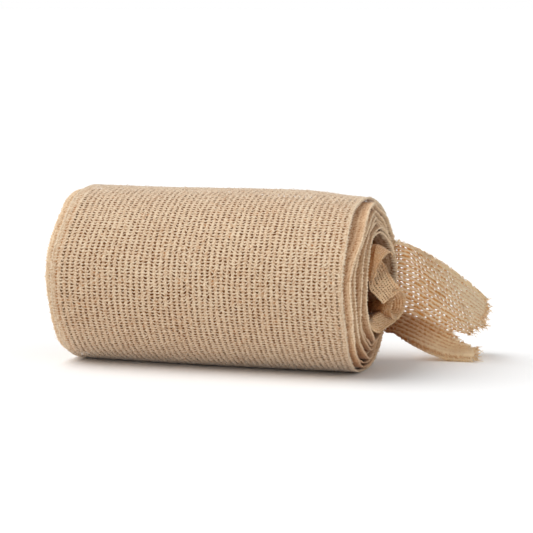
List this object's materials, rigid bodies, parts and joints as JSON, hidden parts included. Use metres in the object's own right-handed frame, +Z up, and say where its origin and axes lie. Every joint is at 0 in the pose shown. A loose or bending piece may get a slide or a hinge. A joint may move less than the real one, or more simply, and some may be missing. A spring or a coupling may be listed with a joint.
{
  "type": "crepe bandage roll",
  "caption": "Wound roll of open-weave crepe bandage lying on its side, with a crumpled core and a frayed loose end spread out behind it.",
  "frame": {"origin": "on the surface the roll rests on, below the roll's axis, at the middle of the outer turn's width", "axes": "+X along the roll's axis towards the end with the crumpled core and the loose end, +Y to the back, where the loose end spreads out, +Z up"},
  "size_m": [0.1289, 0.0759, 0.056],
  "materials": {
    "crepe": "beige cotton crepe, open weave, matt and slightly fuzzy",
    "crepe_thin": "one layer of beige cotton crepe, open weave, light shows through it"
  },
  "bodies": {
    "root": {"roll": "crepe", "loose_end": "crepe_thin"}
  },
  "joints": []
}
